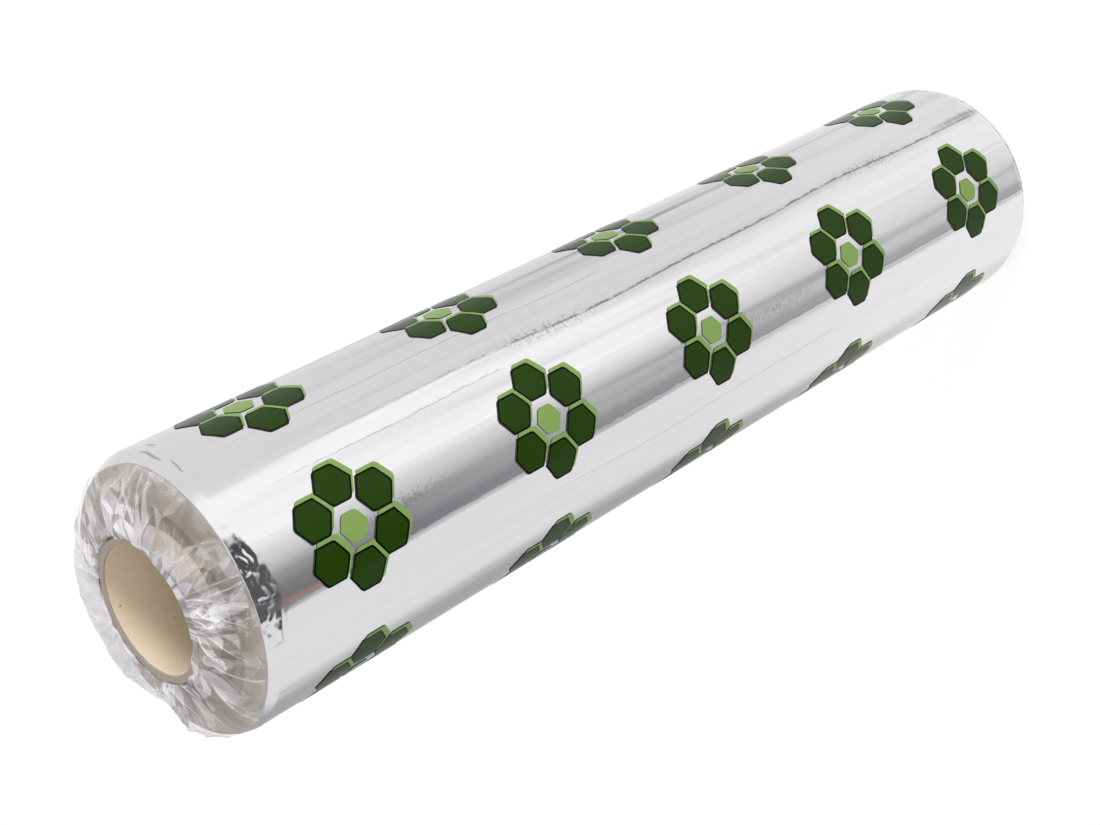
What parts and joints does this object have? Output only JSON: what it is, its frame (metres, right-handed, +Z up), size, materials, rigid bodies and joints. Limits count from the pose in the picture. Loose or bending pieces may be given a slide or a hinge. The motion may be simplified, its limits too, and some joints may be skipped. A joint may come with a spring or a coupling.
{
  "type": "aluminium foil roll",
  "caption": "Wide catering roll of aluminium foil on a proud paper core, wrapped in clear film whose ends are gathered in pleats towards the core.",
  "frame": {"origin": "centre of the core's bottom end, on the surface that the roll stands on", "axes": "+Z up along the roll's axis, -Y towards the side that the picture shows, +X to its right"},
  "size_m": [0.1011, 0.1015, 0.47],
  "materials": {
    "core_board": "smooth tan paper board with a grey-brown cut edge",
    "foil": "bright rolled foil, mirror-like along the roll with soft lengthwise bands",
    "clear_film": "thin clear film, glossy, milky where it is gathered, with a printed green motif"
  },
  "bodies": {
    "root": {"core_tube": "core_board", "foil_winding": "foil", "film_wrap": "clear_film"}
  },
  "joints": []
}
